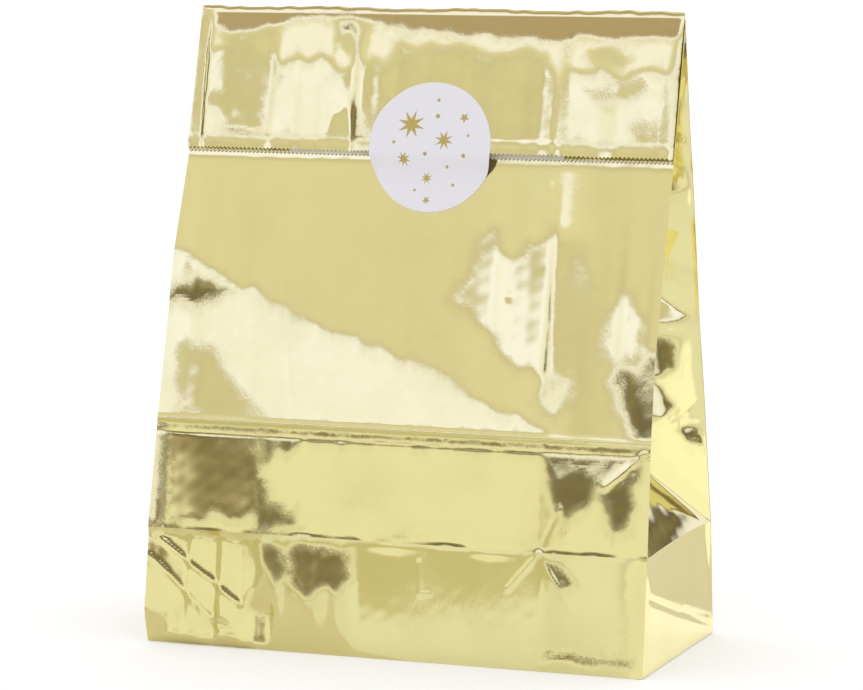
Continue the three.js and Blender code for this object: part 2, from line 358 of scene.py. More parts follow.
# Fold lines and dents on the front. A crease is (start, end, width, height), and a dent is
# (across, up, long, wide, turn, depth).
FRONT_CREASES = [
    # beside the gussets' hidden folds, above and below the second crease
    ((-52, 157), (-40, 87), 0.8, -0.06), ((47, 165), (57, 84), 0.8, 0.08),
    ((-50, 76), (-48, 1), 0.9, 0.10), ((53.5, 76), (54, 1), 0.9, 0.10),
    # from the right end of the second crease, and from the first crease's right knot
    ((88, 75), (75, 63), 0.9, 0.2), ((53, FRONT_S[1]), (66, 20), 0.7, 0.16),
    ((53, FRONT_S[1]), (42, 27), 0.7, 0.14), ((53, FRONT_S[1]), (60, 55), 0.7, 0.12),
    # the slanting pair at the left foot, and the small bent one in the middle
    ((-89, 38), (-55, 15), 0.8, 0.14), ((-89, 30), (-62, 6), 0.8, 0.12),
    ((10, 34), (10.5, 23), 0.5, 0.14), ((10.5, 23), (14, 23.5), 0.5, 0.1),
]
FRONT_DENTS = [
    (0.5, FRONT_S[1] - 1.2, 8, 1.9, 2, -0.16), (36, FRONT_S[1] - 1.4, 7, 1.8, 0, -0.15),
    (36, 126, 1.0, 1.3, 20, -0.10),
]
CREASE_GAP = 4.6


def crease_across(x, s, at_s, width, height):
    """A fold line over the whole width."""
    return crease(x, s, (-HALF_WIDTH, at_s), (HALF_WIDTH, at_s), width, height)


def front_relief(x, s):
    """How far the front stands out of its flat outline."""
    first, second = FRONT_S[1:3]
    worn = 0.6 + 0.4 * np.sin(x / 9.0 + 2) * np.sin(x / 4.1)
    h = FRONT_RELIEF(x, s) + worn * crease_across(x, s, first, 0.8, 0.15)
    h = h + crease_across(x, s, second, 0.8, 0.22) - crease_across(x, s, second - CREASE_GAP, 0.6, 0.07)
    for line in FRONT_CREASES:
        h = h + crease(x, s, *line)
    for hollow in FRONT_DENTS:
        h = h + dent(x, s, *hollow)
    shown = step(s, 0.5, 4) * step(HIDDEN_S + 12 - s, 0, 10)
    return h + shown * (0.016 * ripple(x, s, 21, 2) + 0.006 * ripple(x, s, 6, 5))


def front_points(x, s):
    """The front's outer face, at distances s up from its foot."""
    place, normal = profile(FRONT_OUTLINE, s)
    return narrowed(x, place + normal * front_relief(x, s)[:, None])


def back_relief(x, s):
    """How far the back stands out of its flat outline, up to the ridge."""
    first, second, top = BACK_S[1:]
    h = BACK_RELIEF(x, s) + crease_across(x, s, first, 0.8, 0.15)
    h = h + crease_across(x, s, second, 0.8, 0.22) - crease_across(x, s, second - CREASE_GAP, 0.6, 0.1)
    for side in (-1, 1):
        knot, edge = (side * FOLD_X, first), side * (HALF_WIDTH - 1)
        h = h + crease(x, s, knot, (edge, 1), 0.9, 0.16)
        h = h + crease(x, s, knot, (edge, second - 3), 0.9, 0.12)
        h = h + crease(x, s, (side * FOLD_X, 0), (side * FOLD_X, top - 10), 0.7, 0.08)
    # the seam's lap lies under the sheet: a sharp step at its edge, and a slow way down again
    lap = 0.2 * (step(x, -7.4, -7.0) - step(x, 7, 30))
    shown = step(s, 0.5, 4) * step(top - s, 2, 14)
    return h + shown * (lap + 0.016 * ripple(x, s, 19, 4) + 0.006 * ripple(x, s, 6, 3))


def back_points(x, s):
    """The back's outer face, at distances s up from its foot."""
    place, normal = profile(BACK_OUTLINE, s)
    return narrowed(x, place - normal * back_relief(x, s)[:, None])


# The back's facets, like the front's.
BACK_PATCHES = [
    (6.5, 1.6, [(-95, 108), (-70, 118), (-44, 110), (-16, 104), (14, 98), (44, 84), (40, 80), (-95, 80)]),
    (3.2, 1.6, [(-78, 82), (-74, 98), (-64, 103), (-54, 96), (-46, 84)]),
    (8.0, 1.5, [(20, 150), (26, 128), (40, 118), (58, 122), (54, 150), (44, 166), (36, 156), (28, 164)]),
    (3.0, 1.5, [(-60, 150), (-52, 186), (-40, 170), (-28, 192), (-14, 180), (-10, 152), (-30, 140)]),
    (5.6, 1.4, [(62, 182), (74, 190), (90, 180), (88, 150), (78, 156), (68, 150)]),
    (3.6, 1.6, [(70, 118), (82, 122), (91, 112), (91, 84), (80, 84)]),
    (6.0, 1.5, [(-84, 178), (-74, 180), (-70, 150), (-78, 136), (-86, 150)]),
    (3.8, 1.2, [(50, 76), (88, 76), (86, 43), (70, 46), (50, 42)]),
    (4.6, 1.2, [(-88, 72), (-54, 74), (-55, 64), (-66, 60), (-76, 63), (-88, 60)]),
    (6.4, 1.2, [(-30, 60), (-18, 64), (-6, 56), (-8, 44), (-30, 43)]),
    (5.0, 1.2, [(-86, 2), (-86, 14), (-72, 19), (-62, 14), (-52, 6), (-52, 2)]),
    (5.2, 1.2, [(12, 37), (44, 37), (40, 25), (28, 20), (18, 27)]),
]
BACK_RELIEF = Relief(
    0, BACK_S[3], [(0, -0.2), (BACK_S[2], -2.0)], BACK_PATCHES,
    [(BACK_S[3], 0), (BACK_S[3] - 8, 0), (BACK_S[2], 1.0), (BACK_S[1], None), (0, 0)],
)

# The flap's facets, as degrees of tip, softness and outline (across, down from the ridge).
FLAP_PATCHES = [
    # the rounded top, which tips back to the ceiling, and the pale strip under it
    (8.0, 1.0, [(-31, 3), (-24, 7), (-14, 11.5), (-5, 14), (3, 13), (12, 12.5), (18, 15), (24, 17), (30, 15),
                (36, 14), (42, 16.5), (46, 21), (49, 28), (50, 2)]),
    (13.8, 0.8, [(-97, -4), (-97, 7), (-84, 7.5), (-76, 10.5), (-66, 9), (-58, 6), (-50, 4), (-38, 3.6),
                 (-31, 4.6), (-24, 4.6), (-16, 7), (-8, 8.4), (2, 8), (12, 10), (22, 9), (30, 10), (46, 11),
                 (58, 9.4), (70, 10.4), (80, 9.4), (97, 9.6), (97, -4)]),
    # the pale column, the black wedge beside it and the streaks
    (7.8, 0.8, [(-58, 7), (-50, 4.6), (-38, 4.2), (-37, 12.5), (-30.5, 13), (-29, 20), (-33, 24), (-37, 19),
                (-41, 17), (-46, 20), (-50, 17), (-56, 21), (-60, 16)]),
    (-3.8, 0.8, [(-61, 17), (-56, 22), (-50, 18), (-46, 21), (-41, 18), (-37, 20), (-33, 25), (-28, 31),
                 (-24, 38), (-20, 47), (-62, 47), (-60, 38), (-57, 27)]),
    (-7.8, 0.7, [(-37, 5), (-30.5, 5), (-29, 9), (-31, 12.5), (-35, 12)]),
    (7.6, 1.0, [(-27, 9), (-22, 5.5), (-16, 8), (-13, 12), (-17, 21), (-21, 18), (-25, 22), (-29, 16)]),
    (-1.3, 1.2, [(-34, 23), (-26, 19), (-20, 23), (-15, 31), (-16, 37), (-25, 37), (-30, 29)]),
    # the crinkled block at the right
    (7.8, 0.8, [(50.5, 11), (62, 10), (74, 11), (87.5, 10), (87.5, 22), (80, 19), (70, 24), (62, 19),
                (56, 22), (50.5, 20)]),
    (-3.8, 0.8, [(50.5, 21), (56, 23), (62, 20), (70, 25), (80, 20), (87.5, 23), (87.5, 46), (74, 47),
                 (50.5, 46.5)]),
    (-0.8, 1.2, [(57, 15), (66, 13.5), (73, 17), (66, 20), (60, 18)]),
    (-0.6, 1.0, [(61, 30), (68, 25), (79, 27), (73, 31), (66, 33)]),
    (-1.0, 1.0, [(76, 41), (86, 38), (87, 46), (78, 46)]),
    # the worn block at the left
    (7.8, 1.0, [(-87, 8), (-80, 8), (-78, 14), (-83, 17), (-87, 15)]),
    (-3.8, 1.0, [(-87, 16), (-83, 18), (-78, 15), (-77.5, 22), (-79, 30), (-87, 34)]),
    (-1.6, 1.4, [(-78, 12), (-66, 14), (-62, 24), (-60, 36), (-64, 43), (-76, 43), (-80, 34)]),
    (-3.8, 1.0, [(-87, 38), (-81, 36), (-76, 41), (-79, 47), (-87, 47)]),
    (-7.5, 0.6, [(-77, 43.6), (-64, 44), (-60, 45.8), (-70, 46.6), (-76, 45.8)]),
    (-7.6, 0.8, [(-97, 1), (-86.5, 1.5), (-86.5, 13), (-90, 18), (-97, 17)]),
]
FLAP_RELIEF = Relief(
    -FLAP_LENGTH - 2, 0, [(-FLAP_LENGTH - 2, -0.5)],
    [(tip, soft, [(x, -s) for x, s in outline]) for tip, soft, outline in FLAP_PATCHES],
    [(0, 0), (-FLAP_LENGTH - 2, None)],
)


def flap_out(x, s):
    """How far the flap's face stands off the ridge line, at distance s down from the fold."""
    h = np.maximum(FLAP_RELIEF(x, -s), 0.3) - 0.3
    h = h + crease(x, s, (50, 9), (51.5, FLAP_LENGTH), 0.8, 0.14)
    h = h + crease(x, s, (HALF_WIDTH - 4.2, 8), (HALF_WIDTH - 4.2, FLAP_LENGTH), 0.7, 0.14)
    h = h - crease_across(x, s, FLAP_LENGTH - 3.7, 0.6, 0.1)
    h = h + step(s, 3, 8) * (0.02 * ripple(x, s, 16, 3) + 0.008 * ripple(x, s, 6, 7))
    # the flap closes down towards its two side edges
    full = np.sqrt(np.clip((HALF_WIDTH - abs(x)) / 2.4, 0, 1))
    return 0.35 + h * (0.25 + 0.75 * full) - 0.3 * (1 - full)


def on_ridge_plane(s, out):
    """Places (y, z) at distance s down from the ridge and a distance out from the flap's plane."""
    return RIDGE - s[:, None] * UP + out[:, None] * OUT


def flap_points(x, s):
    """The visible face of the flap: s runs down from the fold."""
    return narrowed(x, on_ridge_plane(s, flap_out(x, s)), 0.2)


# The gusset's facets, as degrees of tip, softness and outline (inwards from the edge, up).
GUSSET_PATCHES = [
    (14.4, 1.4, [(-2, 196), (14, 200), (42, 190), (42, 180), (20, 186), (-2, 182)]),
    (12.5, 1.2, [(-2, 174), (10, 177), (24, 168), (42, 163), (42, 158), (20, 162), (-2, 168)]),
    (17.0, 1.0, [(-2, 135), (8, 137), (20, 141), (34, 144), (34, 130), (24, 122), (8, 120), (-2, 124)]),
    (14.6, 0.7, [(-2, 137.5), (8, 140), (20, 145), (34, 151), (34, 146), (20, 141), (8, 136.5), (-2, 134)]),
    (12.8, 1.2, [(6, 116), (22, 118), (30, 110), (28, 101), (10, 104)]),
    (14.0, 1.0, [(12, 91), (16, 99), (24, 104), (36, 100), (36, 90), (20, 88)]),
    (17.0, 0.8, [(-2, 80), (6, 86), (14, 84), (10, 78), (2, 76)]),
    (14.4, 0.9, [(-2, 53), (10, 63), (22, 75), (30, 85), (36, 85), (26, 75), (12, 61), (-2, 51)]),
]
GUSSET_TIP, GUSSET_TOP = 72.5, 209
EDGE_GAP, WALL_GAP = 0.12, 0.45  # from the walls' edges, and at least from their outer faces
GUSSET_RELIEF = Relief(
    BASE_HEIGHT, GUSSET_TOP + 1, [(BASE_HEIGHT, -2.0)], GUSSET_PATCHES,
    [(GUSSET_TOP + 1, 0), (160, 0.6), (122, -0.6), (SECOND_CREASE, 0.8), (BASE_HEIGHT, 0)],
)


def gusset_pattern(side, face, z):
    """The height at which a gusset half reads its facets, so that the halves differ."""
    return z + 9 * face * side


def wall_at(face, x, z):
    """The front's face, or the back's, at heights z."""
    if face < 0:
        return front_points(x, np.interp(z, [p[1] for p in FRONT_OUTLINE], FRONT_S))
    return back_points(x, np.interp(z, [p[1] for p in BACK_OUTLINE], BACK_S))


def gusset_points(side, face, across, up):
    """One half of a gusset: across runs from the wall's edge to the centre crease, up from the
    slanting crease at its foot to just under the ridge. face is -1 at the front and 1 at the back."""
    foot = BASE_HEIGHT + 0.3 + across * (GUSSET_TIP - BASE_HEIGHT)
    z = foot + up * (GUSSET_TOP - foot)
    side_edge = np.full_like(z, side * HALF_WIDTH)
    edge = wall_at(face, side_edge, z)

    # the centre crease reaches as far in as the two halves' width lets it
    high = np.maximum(z, GUSSET_TIP)
    front, back = wall_at(-1, side_edge, high), wall_at(1, side_edge, high)
    half = np.clip((back[:, 1] - front[:, 1]) / 2, 0, GUSSET)
    inward = np.sqrt(GUSSET**2 - half**2)
    middle = (front[:, 1] + back[:, 1]) / 2
    to_middle = middle - (front if face < 0 else back)[:, 1]
    place = np.column_stack([
        edge[:, 0] - side * (0.1 + across * inward),
        edge[:, 1] - face * EDGE_GAP + across * (to_middle + face * EDGE_GAP),
        z,
    ])

    s = across * GUSSET
    pattern = np.clip(gusset_pattern(side, face, z), BASE_HEIGHT, GUSSET_TOP + 1)
    h = GUSSET_RELIEF(s, pattern) + 0.05 * ripple(s, z, 15, 3)
    h = h + crease(s, z, (0, SECOND_CREASE), (GUSSET, SECOND_CREASE - 3), 0.9, 0.35)
    h = h - crease(s, z, (0, SECOND_CREASE + 6), (GUSSET, SECOND_CREASE - 8), 1.0, 0.4)
    h = h * between(s, 2.5, 4, GUSSET) * between(up, 0.08, 0.1)
    normal = np.column_stack([side * abs(to_middle), -face * inward])
    normal = normal / np.hypot(inward, to_middle)[:, None]
    half = (wall_at(1, side_edge, z)[:, 1] - wall_at(-1, side_edge, z)[:, 1]) / 2
    h = np.clip(h, -0.45 * across * half, 0.7 * (1 - across) * half)
    place[:, :2] += normal * h[:, None]

    # the paper stays inside the wall that it lies against
    wall = wall_at(face, place[:, 0] / side_x(z) * HALF_WIDTH, z)
    depth = np.maximum(face * (wall[:, 1] - place[:, 1]), WALL_GAP)
    place[:, 1] = wall[:, 1] - face * depth
    return place


def side_points(side, y, z):
    """The upright side of the base: y runs from its front edge to its back edge."""
    x = np.full_like(z, side * HALF_WIDTH)
    front = front_points(x, z * FRONT_S[1] / BASE_HEIGHT)
    back = back_points(x, z * BACK_S[1] / BASE_HEIGHT)
    t = (y / HALF_DEPTH + 1) / 2
    place = front * (1 - t)[:, None] + back * t[:, None]
    # two shallow facets, parted by a slanting crease that falls to the back
    crease_z = 15 - 0.29 * y
    h = -0.03 * np.clip(z - crease_z, 0, 30) + 0.02 * np.clip(z, 0, crease_z)
    h = h - crease(y, z, (HALF_DEPTH, 3), (-HALF_DEPTH, 27), 1.1, 0.4)
    h = h - crease(y, z, (HALF_DEPTH, 6), (4, 15), 0.9, 0.3)
    h = h + 0.02 * ripple(y, z, 12, 5) - 1.2 * fall((z - BASE_HEIGHT) / 12) * (1 - (y / HALF_DEPTH) ** 2)
    place[:, 0] += side * between(t, 0.06, 0.06) * h
    return place


def sticker_points(dx, ds):
    """The sticker's face: dx and ds run right and up from its centre."""
    x, s = STICKER_X + dx, STICKER_S - ds
    on_flap = flap_out(x, np.minimum(s, FLAP_LENGTH)) + STICKER_OFF
    wall = front_points(x, FRONT_S[3] + FRONT_FOLD_DROP - s)
    wall = (wall[:, 1:] - RIDGE) @ OUT + STICKER_OFF
    down = s - FLAP_LENGTH
    out = on_flap + (wall - on_flap) * step(down, -0.5, 8)
    return np.column_stack([x, on_ridge_plane(s, out)])


# ---- modelling helpers


def spaced(stops, counts):
    """Distances from the first stop to the last, with a count of even steps after each stop."""
    parts = [np.linspace(a, b, n + 1)[:-1] for a, b, n in zip(stops, stops[1:], counts)]
    return np.concatenate([*parts, stops[-1:]])


def zigzag(u, columns):
    """How far the pinked cut reaches out at each column."""
    return bpy.context.scene.gift_bag.pinking / MM * (np.rint(u * columns) % 2)


def deselect():
    bpy.ops.object.select_all(action="DESELECT")


def grid_sheet(name, columns, rows, place, crinkled=None):
    """A grid whose points are laid where place(u, v) says, with u and v from 0 to 1. What
    crinkled(u, v) says goes into an attribute, which the foil's material reads."""
    deselect()
    bpy.ops.mesh.primitive_grid_add(x_subdivisions=columns, y_subdivisions=rows, size=2)
    sheet = bpy.context.object
    sheet.name = sheet.data.name = name
    points = np.empty(len(sheet.data.vertices) * 3)
    sheet.data.vertices.foreach_get("co", points)
    points = points.reshape(-1, 3)
    u, v = (points[:, 0] + 1) / 2, (points[:, 1] + 1) / 2
    sheet.data.vertices.foreach_set("co", (place(u, v) * MM).ravel())
    if crinkled:
        values = sheet.data.attributes.new("crinkled", "FLOAT", "POINT")
        values.data.foreach_set("value", crinkled(u, v))
    sheet.data.update()
    return sheet


def edit_all(operator, **settings):
    """Runs an edit-mode operator on the whole of the active mesh."""
    bpy.ops.object.mode_set(mode="EDIT")
    bpy.ops.mesh.select_all(action="SELECT")
    operator(**settings)
    bpy.ops.object.mode_set(mode="OBJECT")


def weld(sheet):
    edit_all(bpy.ops.mesh.remove_doubles, threshold=0.02 * MM)
    return sheet


def thicken(sheet, outer, inner, ply):
    """Gives a sheet its thickness inwards, with the inner material on its inner face."""
    sheet.data.materials.append(outer)
    sheet.data.materials.append(inner)
    bpy.context.view_layer.objects.active = sheet
    bpy.ops.object.modifier_add(type="SOLIDIFY")
    solid = sheet.modifiers[-1]
    solid.thickness = ply
    solid.offset = -1
    solid.material_offset = 1
    bpy.ops.object.modifier_apply(modifier=solid.name)
    bpy.ops.object.shade_smooth_by_angle(angle=math.radians(50))
    return sheet


def set_inputs(node, **inputs):
    """Sets or links a node's inputs, named with _ for a space. The input i0 is the first one."""
    for key, value in inputs.items():
        key = int(key[1:]) if key[1:].isdigit() else key.replace("_", " ")
        if isinstance(value, bpy.types.NodeSocket):
            node.id_data.links.new(value, node.inputs[key])
        else:
            node.inputs[key].default_value = value


def add_node(tree, kind, settings=None, **inputs):
    """One shader node of a kind, with its settings, its values and its links."""
    node = tree.nodes.new(f"ShaderNode{kind}")
    for key, value in (settings or {}).items():
        setattr(node, key, value)
    set_inputs(node, **inputs)
    return node


def mix_colours(tree, share, low, high):
    """The colour low where the share is 0 and high where it is 1. Each is a colour or a socket."""
    node = add_node(tree, "Mix", {"data_type": "RGBA"}, Factor=share, i6=low, i7=high)
    return node.outputs[2]


def multiply_add(tree, a, b, c=0.0, **settings):
    settings["operation"] = "MULTIPLY_ADD"
    return add_node(tree, "Math", settings, i0=a, i1=b, i2=c).outputs[0]


def map_range(tree, value, start, end, low=0.0, high=1.0, **settings):
    node = add_node(tree, "MapRange", settings, Value=value, From_Min=start, From_Max=end,
                    To_Min=low, To_Max=high)
    return node.outputs["Result"]


def noise(tree, place, scale, detail, roughness=0.5):
    node = add_node(tree, "TexNoise", Vector=place, Scale=scale, Detail=detail,
                    Roughness=roughness)
    return node.outputs["Fac"]


def shade(colour, share):
    """A colour made darker, with its alpha."""
    return (*(c * share for c in colour), 1)


def material(name, lay_out):
    """The named material. lay_out(tree, shader) gives it its nodes when it is new."""
    made = bpy.data.materials.get(name)
    if made is None:
        made = bpy.data.materials.new(name)
        made.use_nodes = True
        lay_out(made.node_tree, made.node_tree.nodes["Principled BSDF"])
    return made


def object_place(tree):
    return add_node(tree, "TexCoord").outputs["Object"]


def foil(tree, shader):
    """Metallised film laminated on paper: a mirror that the paper's fibres roughen a little."""
    colour = bpy.context.scene.gift_bag.foil
    place = object_place(tree)
    drawn = add_node(tree, "Mapping", Vector=place, Scale=(1, 1, 0.22)).outputs["Vector"]
    patches = noise(tree, place, 34, 3)
    fibres = noise(tree, place, 1400, 3, 0.6)
    brushed = noise(tree, drawn, 1500, 3, 0.6)
    # worn patches, and the borders of the facets, where the film is brushed and crinkled
    borders = add_node(tree, "Attribute", {"attribute_name": "crinkled"}).outputs["Fac"]
    worn = multiply_add(tree, map_range(tree, patches, 0.5, 0.68), 0.55, borders, use_clamp=True)
    deep = multiply_add(tree, brushed, worn)
    coarse = add_node(tree, "Bump", Strength=0.6, Distance=0.00011, Height=deep)
    fine = add_node(tree, "Bump", Strength=0.25, Distance=0.000008, Height=fibres,
                    Normal=coarse.outputs["Normal"])
    set_inputs(shader, Metallic=1, Normal=fine.outputs["Normal"],
               Roughness=map_range(tree, worn, 0, 1, 0.07, 0.15),
               Base_Color=mix_colours(tree, worn, shade(colour, 1), shade(colour, 0.95)))


def matt_paper(colour, scale, roughness, depth):
    """Uncoated or matt paper: an even tone with a fine cloud of fibres, which also roughens it."""
    def lay_out(tree, shader):
        cloud = noise(tree, object_place(tree), scale, 5, 0.65)
        bump = add_node(tree, "Bump", Strength=0.2, Distance=depth, Height=cloud)
        set_inputs(shader, Roughness=roughness, Normal=bump.outputs["Normal"],
                   Base_Color=mix_colours(tree, cloud, shade(colour, 0.92), shade(colour, 1)))

    return lay_out


def hot_foil(tree, shader):
    """Hot-stamped foil print: thin gold film pressed into the label, slightly soft."""
    colour = bpy.context.scene.gift_bag.print_foil
    press = noise(tree, object_place(tree), 900, 2)
    set_inputs(shader, Metallic=0.7, Roughness=0.38,
               Base_Color=mix_colours(tree, press, shade(colour, 0.85), shade(colour, 1)))


def foil_sheet(sheet):
    """Thickens a sheet of the laminate: foil outside, and the uncoated kraft inside."""
    settings = bpy.context.scene.gift_bag
    outside = material("Gold metallised foil paper, laminated", foil)
    kraft = matt_paper(settings.lining, 350, 0.82, 0.00005)
    thicken(sheet, outside, material("Bleached kraft paper, uncoated", kraft), settings.ply)
    return sheet


# ---- the pieces


class GIFTBAG_OT_base(bpy.types.Operator):
    """Adds the upright walls of the base, folded from one strip"""

    bl_idname = "giftbag.base"
    bl_label = "Base walls"

    def execute(self, context):
        counts = (240, 70, 150, 70)
        ends = np.cumsum([0, *counts]) / sum(counts)

        faces = (
            lambda t, w: front_points(t * HALF_WIDTH, w * FRONT_S[1]),
            lambda t, w: side_points(1, t * HALF_DEPTH, w * BASE_HEIGHT),
            lambda t, w: back_points(-t * HALF_WIDTH, w * BACK_S[1]),
            lambda t, w: side_points(-1, -t * HALF_DEPTH, w * BASE_HEIGHT),
        )

        def place(u, v):
            laid = np.zeros((len(u), 3))
            for face, start, end in zip(faces, ends, ends[1:]):
                on = (u >= start - 1e-7) & (u <= end + 1e-7)
                laid[on] = face((u[on] - start) / (end - start) * 2 - 1, v[on])
            return laid

        def crinkled(u, v):
            front = np.clip((u - ends[0]) / (ends[1] - ends[0]), 0, 1) * 2 - 1
            back = np.clip((u - ends[2]) / (ends[3] - ends[2]), 0, 1) * 2 - 1
            on_front = FRONT_RELIEF.crinkled(front * HALF_WIDTH, v * FRONT_S[1])
            on_back = BACK_RELIEF.crinkled(-back * HALF_WIDTH, v * BACK_S[1])
            return on_front * (u < ends[1]) + on_back * (u > ends[2]) * (u < ends[3])

        walls = foil_sheet(weld(grid_sheet("base_walls", sum(counts), 48, place, crinkled)))
        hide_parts("base_front_wall", "base_back_wall", "base_left_wall", "base_right_wall",
                    "seam_lap_base")
        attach(walls, "base")
        return {"FINISHED"}


class GIFTBAG_OT_bottom(bpy.types.Operator):
    """Adds the glued bottom: two mitred end flaps and the tucked corners between them"""

    bl_idname = "giftbag.bottom"
    bl_label = "Bottom"

    def execute(self, context):
        edge, corner, lap = HALF_DEPTH - 0.5, HALF_WIDTH - 0.4, 12
        for name, side, level in (("bottom_outer", -1, 0.25), ("bottom_inner", 1, 0.75)):
            def place(u, v):
                y = edge - v * (edge + lap)
                half = corner - v * (edge + lap)
                x = (2 * u - 1) * half
                lift = 0.12 * ripple(x, y, 40, 2) * between(v, 0.2, 0.2)
                return np.column_stack([-side * x, side * y, level + lift])

            flap = foil_sheet(grid_sheet(name, 90, 30, place))
            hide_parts(f"{name}_flap")
            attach(flap, "base")
        for side, label in SIDES:
            def place(u, v):
                y = (2 * u - 1) * edge * (1 - v)
                x = corner - v * edge
                return np.column_stack([side * x, side * y, 1.25 + 0 * x])

            tuck = weld(grid_sheet(f"bottom_tuck_{label}_paper", 40, 24, place))
            edit_all(bpy.ops.mesh.flip_normals)
            foil_sheet(tuck)
            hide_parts(f"bottom_tuck_{label}")
            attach(tuck, "base")
        return {"FINISHED"}


class GIFTBAG_OT_front(bpy.types.Operator):
    """Adds the front panel and the flap's inner ply, which meet at the front fold"""

    bl_idname = "giftbag.front"
    bl_label = "Front panel and inner flap"

    def execute(self, context):
        low, second, high = FRONT_S[1:]
        columns = 240
        rows = spaced([low, low + 3, second - NEAR_LOW, second + NEAR_HIGH, HIDDEN_S + 4, high],
                      [4, 29, 17, 83, 17])

        def flat(u, v):
            return (2 * u - 1) * HALF_WIDTH, rows[np.rint(v * (len(rows) - 1)).astype(int)]

        panel = foil_sheet(grid_sheet(
            "front_panel", columns, len(rows) - 1, lambda u, v: front_points(*flat(u, v)),
            lambda u, v: FRONT_RELIEF.crinkled(*flat(u, v)),
        ))
        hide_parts("front_wall")
        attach(panel, "front")

        def place_ply(u, v):
            x = (2 * u - 1) * HALF_WIDTH
            s = 0.12 + v * (FRONT_PLY_LENGTH - 0.27) + (v > 0.999) * zigzag(u, columns)
            wall = front_points(x, high - np.maximum(s, 0))
            off = np.maximum((wall[:, 1:] - FRONT_FOLD) @ OUT, 0) + 0.3 * step(s, -0.2, 1.5)
            return narrowed(x, FRONT_FOLD + OUT * off[:, None] - UP * s[:, None])

        ply = foil_sheet(grid_sheet("front_flap_ply", columns, 24, place_ply))
        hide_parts("front_flap")
        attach(ply, "front_flap_ply")
        return {"FINISHED"}


class GIFTBAG_OT_back(bpy.types.Operator):
    """Adds the back panel and the flap's outer ply, one sheet that folds over the ridge"""

    bl_idname = "giftbag.back"
    bl_label = "Back panel and flap"

    def execute(self, context):
        low, second, high = BACK_S[1:]
        columns = 240
        # rows up the back, round the ridge and down the flap
        rows_up = spaced([low, second - NEAR_LOW, second + NEAR_HIGH, high], [23, 12, 61])
        turns = np.linspace(0, 1, 8)[1:-1]
        rows_down = spaced([0.6, 12, FLAP_LENGTH - 0.7], [13, 35])
        total = len(rows_up) + len(turns) + len(rows_down) - 1

        def flat(u, v):
            """Places across, rows, rows down the flap, and the distances up the back and down it."""
            row = np.rint(v * total).astype(int)
            down = row - len(rows_up) - len(turns)
            up_s = rows_up[np.minimum(row, len(rows_up) - 1)]
            down_s = rows_down[np.clip(down, 0, len(rows_down) - 1)]
            return (1 - 2 * u) * HALF_WIDTH, row, down, up_s, down_s

        def place(u, v):
            x, row, down, up_s, down_s = flat(u, v)
            back = back_points(x, up_s)
            flap = flap_points(x, down_s + (row == total) * zigzag(u, columns))
            t = turns[np.clip(row - len(rows_up), 0, len(turns) - 1)]
            from_back = back_points(x, np.full_like(x, high))
            to_flap = flap_points(x, np.full_like(x, rows_down[0]))
            roll = from_back * (1 - t)[:, None] + to_flap * t[:, None]
            worn = 1.0 + 0.25 * np.sin(x / 9) + 0.2 * ripple(x, 0 * x, 7, 2)
            roll[:, 1:] += (np.sin(np.pi * t) * worn)[:, None] * UP
            laid = np.where((row < len(rows_up))[:, None], back, roll)
            return np.where((down >= 0)[:, None], flap, laid)

        def crinkled(u, v):
            x, row, down, up_s, down_s = flat(u, v)
            on_back, on_flap = BACK_RELIEF.crinkled(x, up_s), FLAP_RELIEF.crinkled(x, -down_s)
            return np.where(down >= 0, on_flap, on_back * (row < len(rows_up)))

        sheet = foil_sheet(grid_sheet("back_panel_and_flap", columns, total, place, crinkled))
        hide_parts("back_wall", "back_flap", "seam_lap_wall", "seam_lap_flap")
        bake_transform(sheet)
        return {"FINISHED"}


class GIFTBAG_OT_gussets(bpy.types.Operator):
    """Adds the pleated sides: two halves and a triangle at the foot of each"""

    bl_idname = "giftbag.gussets"
    bl_label = "Gussets"

    def execute(self, context):
        for side, label in SIDES:
            for face, body in ((-1, "front"), (1, "back")):
                def place(u, v):
                    return gusset_points(side, face, u if side != face else 1 - u, v)

                def crinkled(u, v):
                    pattern = gusset_pattern(side, face, place(u, v)[:, 2])
                    return GUSSET_RELIEF.crinkled((u if side != face else 1 - u) * GUSSET, pattern)

                name = f"gusset_{body}_{label}"
                half = foil_sheet(grid_sheet(f"{name}_paper", 50, 150, place, crinkled))
                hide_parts(name)
                edge, middle = gusset_points(side, face, np.array([0.0, 1.0]), np.array([0.5, 0.5]))
                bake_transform(half)

            def corner(u, v):
                foot = side_points(side, side * (2 * u - 1) * HALF_DEPTH, np.full_like(u, BASE_HEIGHT))
                tip = gusset_points(side, -1, np.array([1.0]), np.array([0.0]))
                place = foot * (1 - v)[:, None] + tip * v[:, None]
                lift = 0.8 * np.sin(np.pi * v) * np.sin(np.pi * u) + 0.05 * ripple(u * 60, v * 30, 14, 5)
                place[:, 0] += side * lift * between(v, 0.2, 0.3)
                return place

            triangle = foil_sheet(weld(grid_sheet(f"gusset_corner_{label}", 70, 30, corner)))
            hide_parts(f"gusset_triangle_{label}")
            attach(triangle, "base")
        return {"FINISHED"}


